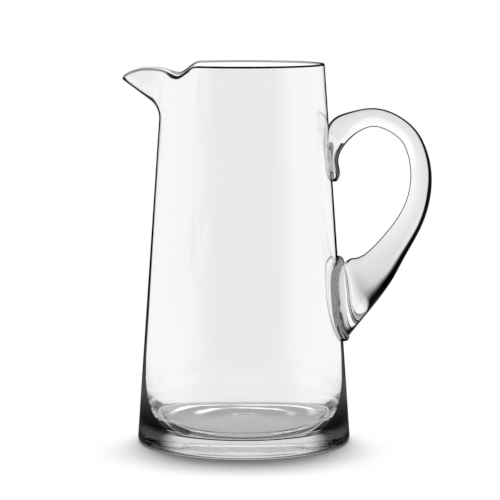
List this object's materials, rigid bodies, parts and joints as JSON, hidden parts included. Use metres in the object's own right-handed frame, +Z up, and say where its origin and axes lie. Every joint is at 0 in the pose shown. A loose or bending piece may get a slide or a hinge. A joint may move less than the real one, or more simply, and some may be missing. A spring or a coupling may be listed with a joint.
{
  "type": "cocktail pitcher",
  "caption": "Tall clear glass pitcher with a tapering body, a thick base, a pulled pouring spout and an applied loop handle.",
  "frame": {"origin": "centre of the body's axis on the plane that the pitcher stands on", "axes": "+Z up along the body's axis, +X from the axis towards the handle, -X towards the pouring spout, and the part is mirror symmetric about the XZ plane"},
  "size_m": [0.2066, 0.1432, 0.2539],
  "materials": {
    "vessel_glass": "clear colourless blown glass, smooth and polished, with a fire-polished rim",
    "handle_glass": "clear colourless solid glass, drawn by hand, with a soft smooth surface"
  },
  "bodies": {
    "root": {"vessel": "vessel_glass", "handle": "handle_glass"}
  },
  "joints": []
}
